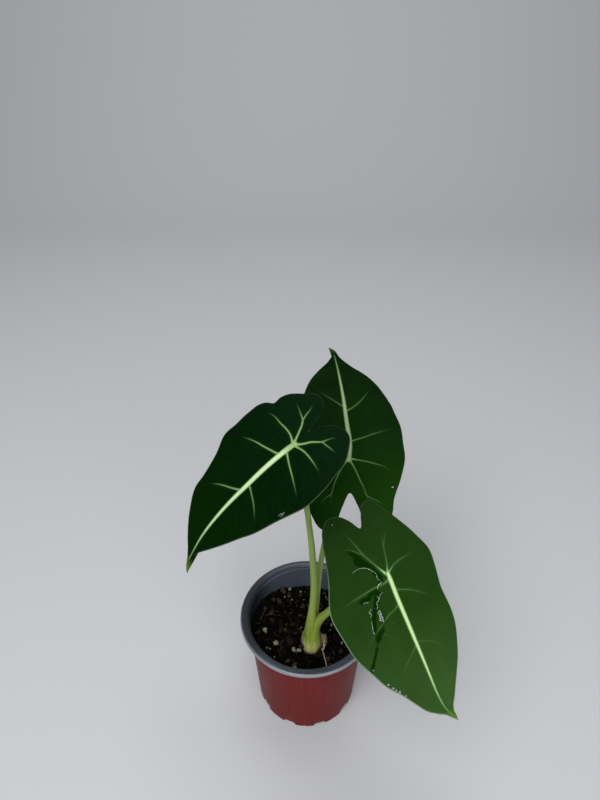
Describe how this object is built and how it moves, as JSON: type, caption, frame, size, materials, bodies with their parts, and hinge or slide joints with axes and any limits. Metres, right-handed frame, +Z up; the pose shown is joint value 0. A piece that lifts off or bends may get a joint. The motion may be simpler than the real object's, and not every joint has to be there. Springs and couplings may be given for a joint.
{
  "type": "potted frydek alocasia",
  "caption": "Alocasia houseplant with velvety, arrow-shaped dark leaves on slender pale stalks, growing in a round plastic nursery pot.",
  "frame": {"origin": "centre of the pot's foot, on the surface that it stands on", "axes": "+Z up; +X to the right and -Y towards a viewer in front of the plant"},
  "size_m": [0.1545, 0.2159, 0.2872],
  "materials": {
    "pot_plastic": "satin",
    "potting_mix": "matte",
    "corm_skin": "matte",
    "dry_sheath": "matte",
    "stalk": "satin",
    "leaf_blade": "satin"
  },
  "bodies": {
    "root": {"pot": "pot_plastic", "soil": "potting_mix", "corm": "corm_skin", "dry_sheath": "dry_sheath", "stalk_right": "stalk", "stalk_left": "stalk", "stalk_back": "stalk", "leaf_left": "leaf_blade", "leaf_back": "leaf_blade", "leaf_right": "leaf_blade"}
  },
  "joints": []
}
